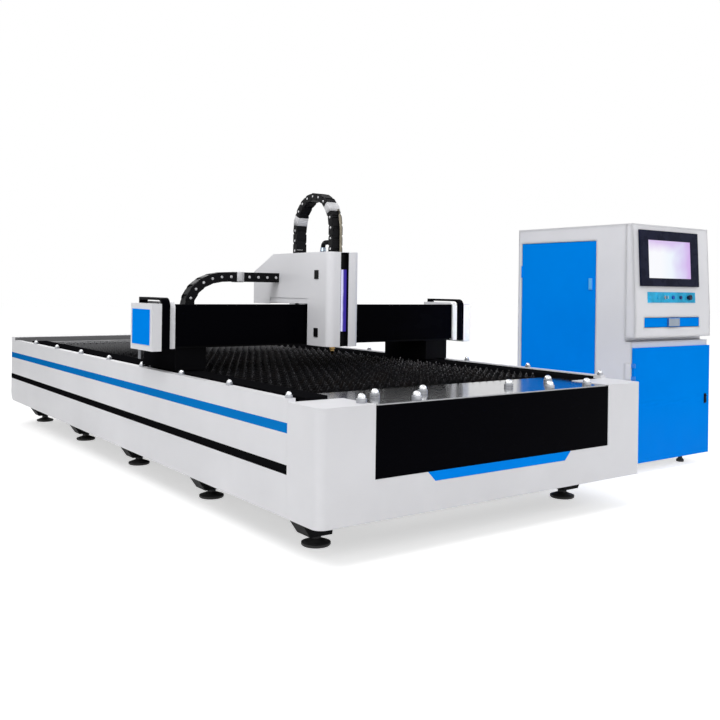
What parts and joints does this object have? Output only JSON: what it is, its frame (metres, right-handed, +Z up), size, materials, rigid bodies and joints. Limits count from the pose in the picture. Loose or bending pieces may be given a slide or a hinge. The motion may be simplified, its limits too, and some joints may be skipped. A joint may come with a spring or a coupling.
{
  "type": "fiber laser cutting machine",
  "caption": "Flat-bed laser sheet cutter: long slatted bed, travelling gantry with an upright head and drag chains, and a free-standing control cabinet.",
  "frame": {"origin": "bottom centre of the whole machine's bounding box, on the floor plane", "axes": "+Y along the bed from its front end to its rear, +X from the bed to the cabinet, +Z up"},
  "size_m": [3.455, 4.56, 1.6568],
  "materials": {
    "white_paint": "smooth semi-gloss powder coat",
    "blue_paint": "smooth gloss paint",
    "black_paint": "semi-gloss black coat",
    "black_gloss": "gloss black panel",
    "dark_frame": "satin dark grey coat on welded steel",
    "polished_steel": "polished sheet",
    "slat_steel": "scaled mild steel with scorch marks",
    "ground_steel": "ground and hardened",
    "cup_steel": "pressed steel",
    "ball_chrome": "polished ball",
    "foot_rubber": "matte rubber pad on a black stem",
    "screen_frame": "glossy dark frame",
    "screen_face": "lit display",
    "teal_plate": "printed control plate",
    "key_metal": "plated key barrel",
    "blue_button": "moulded cap",
    "dark_button": "moulded cap",
    "cap_plastic": "moulded mushroom cap",
    "handle_metal": "satin anodised",
    "black_plastic": "moulded plastic",
    "led_light": "lit diffuser",
    "motor_black": "satin motor housing",
    "unit_grey": "textured grey casing",
    "zinc_plate": "zinc-plated mounting plate",
    "machined_alu": "machined plate",
    "head_alu": "anodised dark housing",
    "nozzle_brass": "turned"
  },
  "bodies": {
    "bed": {"bed_frame": "dark_frame", "side_panels": "white_paint", "blue_side_stripes": "blue_paint", "black_side_stripes": "black_paint", "front_cover": "white_paint", "front_panel": "black_gloss", "front_accent": "blue_paint", "rear_cover": "white_paint", "deck_plates": "polished_steel", "side_deck_strips": "polished_steel", "rail_covers": "black_paint", "y_guide_rails": "ground_steel", "y_racks": "ground_steel", "slat_holders": "dark_frame", "cutting_slats": "slat_steel", "transfer_cups": "cup_steel", "transfer_balls": "ball_chrome", "leveling_feet": "foot_rubber", "scrap_tray": "dark_frame", "cabinet_shell": "white_paint", "console_housing": "white_paint", "screen_bezel": "screen_frame", "screen": "screen_face", "button_plate": "teal_plate", "cabinet_feet": "foot_rubber", "laser_source": "unit_grey", "electrics_panel": "zinc_plate"},
    "gantry": {"gantry_beam": "dark_frame", "beam_cover": "black_gloss", "end_plates": "white_paint", "end_frames": "black_gloss", "end_covers": "white_paint", "end_panels": "blue_paint", "gantry_feet": "black_paint", "y_guide_blocks": "ground_steel", "y_motors": "motor_black", "x_guide_rails": "ground_steel"},
    "pinion_left": {"y_pinion_left": "ground_steel"},
    "pinion_right": {"y_pinion_right": "ground_steel"},
    "carriage": {"carriage_plate": "machined_alu", "head_cover": "white_paint", "head_latches": "black_plastic", "led_channel": "black_plastic", "led_strip": "led_light", "z_motor": "motor_black", "x_motor": "motor_black", "x_chain": "black_plastic", "z_chain": "black_plastic"},
    "z_slide": {"cutting_head": "head_alu", "nozzle": "nozzle_brass"},
    "side_door": {"side_door": "blue_paint", "side_door_latch": "handle_metal"},
    "front_door": {"front_door": "blue_paint", "front_door_lock": "black_plastic"},
    "drawer": {"keyboard_drawer": "blue_paint", "drawer_pull": "handle_metal"},
    "key": {"key_switch": "key_metal"},
    "start": {"start_button": "blue_button"},
    "stop": {"stop_button": "dark_button"},
    "estop": {"emergency_stop": "cap_plastic"}
  },
  "joints": [
    {"name": "gantry_travel", "type": "slide", "parent": "bed", "child": "gantry", "axis": [0, 1, 0], "range_m": [-0.85, 2.15]},
    {"name": "carriage_travel", "type": "slide", "parent": "gantry", "child": "carriage", "axis": [1, 0, 0], "range_m": [-0.695, 0.805], "deforming": ["x_chain"]},
    {"name": "z_travel", "type": "slide", "parent": "carriage", "child": "z_slide", "axis": [0, 0, 1], "range_m": [-0.055, 0.035], "deforming": ["z_chain"]},
    {"name": "pinion_left_spin", "type": "hinge", "parent": "gantry", "child": "pinion_left", "pos_m": [-1.5505, -0.43, 0.567], "axis": [0, 0, 1], "range_deg": [-1392.5, 3520.6]},
    {"name": "pinion_right_spin", "type": "hinge", "parent": "gantry", "child": "pinion_right", "pos_m": [0.2955, -0.43, 0.567], "axis": [0, 0, 1], "range_deg": [-3520.6, 1392.5]},
    {"name": "side_door_swing", "type": "hinge", "parent": "bed", "child": "side_door", "pos_m": [0.9425, -0.885, 0.8], "axis": [0, 0, -1], "range_deg": [0, 40]},
    {"name": "front_door_swing", "type": "hinge", "parent": "bed", "child": "front_door", "pos_m": [0.9435, -1.81, 0.4], "axis": [0, 0, -1], "range_deg": [0, 110]},
    {"name": "drawer_slide", "type": "slide", "parent": "bed", "child": "drawer", "axis": [0, -1, 0], "range_m": [0, 0.26]},
    {"name": "key_turn", "type": "hinge", "parent": "bed", "child": "key", "pos_m": [1.24, -1.80435, 1.07285], "axis": [0, -0.9986, 0.0523], "range_deg": [0, 90]},
    {"name": "start_press", "type": "slide", "parent": "bed", "child": "start", "axis": [0, 0.9986, -0.0523], "range_m": [0, 0.004], "stiffness_N_per_m": 600},
    {"name": "stop_press", "type": "slide", "parent": "bed", "child": "stop", "axis": [0, 0.9986, -0.0523], "range_m": [0, 0.004], "stiffness_N_per_m": 600},
    {"name": "estop_press", "type": "slide", "parent": "bed", "child": "estop", "axis": [0, 0.9986, -0.0523], "range_m": [0, 0.005], "stiffness_N_per_m": 600}
  ],
  "couplings": [
    {"joint": "pinion_left_spin", "follows": "gantry_travel", "rad_per_m": 28.571},
    {"joint": "pinion_right_spin", "follows": "gantry_travel", "rad_per_m": -28.571}
  ]
}
